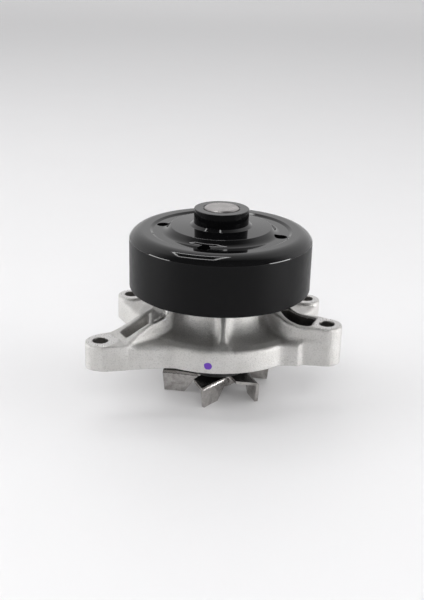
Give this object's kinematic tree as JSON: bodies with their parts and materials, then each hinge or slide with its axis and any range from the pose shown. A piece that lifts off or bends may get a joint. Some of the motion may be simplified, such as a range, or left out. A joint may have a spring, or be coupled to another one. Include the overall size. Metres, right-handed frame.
{
  "type": "engine water pump",
  "caption": "Belt-driven engine water pump: a ribbed cast-aluminium housing with bolt ears, a smooth black cup pulley on a sealed bearing shaft, and a bent-vane stamped impeller below.",
  "frame": {"origin": "where the shaft axis crosses the flange's mounting face", "axes": "+Z along the shaft towards the pulley, +X towards the high bolt ear, +Y towards the rear of the flange"},
  "size_m": [0.115, 0.0956, 0.0899],
  "materials": {
    "cast_aluminium": "die-cast aluminium with a fine as-cast grain and machined pads, face and bores",
    "black_ecoat": "black electro-coat, satin on the belt face and glossy on the drawn top",
    "ground_steel": "ground bare steel",
    "polished_steel": "polished bearing steel",
    "stamped_steel": "stamped steel, satin, with bright bends",
    "cage_nylon": "glass-filled nylon",
    "seal_rubber": "black nitrile rubber",
    "seal_steel": "pressed stainless steel",
    "seal_carbon": "resin-filled carbon with a lapped face",
    "seat_ceramic": "off-white alumina with a lapped face"
  },
  "bodies": {
    "housing": {"pump_housing": "cast_aluminium", "bearing_outer_ring": "ground_steel", "upper_bearing_seal": "seal_rubber", "lower_bearing_seal": "seal_rubber", "seal_casing": "seal_steel", "seal_bellows": "seal_rubber", "bellows_band": "seal_steel", "seal_spring": "seal_steel", "spring_plate": "seal_steel", "carbon_ring": "seal_carbon"},
    "rotor": {"bearing_shaft": "ground_steel", "pulley_hub": "black_ecoat", "pulley_shell": "black_ecoat", "slinger": "seal_rubber", "seat_cup": "seal_rubber", "seat_ring": "seat_ceramic", "impeller": "stamped_steel"},
    "upper_ball_set": {"upper_ball_row": "polished_steel", "upper_ball_cage": "cage_nylon"},
    "lower_ball_set": {"lower_ball_row": "polished_steel", "lower_ball_cage": "cage_nylon"}
  },
  "joints": [
    {"name": "shaft_spin", "type": "hinge", "parent": "housing", "child": "rotor", "pos_m": [0, 0, 0], "axis": [0, 0, 1], "continuous": true},
    {"name": "upper_cage_spin", "type": "hinge", "parent": "housing", "child": "upper_ball_set", "pos_m": [0, 0, 0], "axis": [0, 0, 1], "continuous": true},
    {"name": "lower_cage_spin", "type": "hinge", "parent": "housing", "child": "lower_ball_set", "pos_m": [0, 0, 0], "axis": [0, 0, 1], "continuous": true}
  ],
  "couplings": [
    {"joint": "upper_cage_spin", "follows": "shaft_spin", "ratio": 0.3568},
    {"joint": "lower_cage_spin", "follows": "shaft_spin", "ratio": 0.3568}
  ]
}
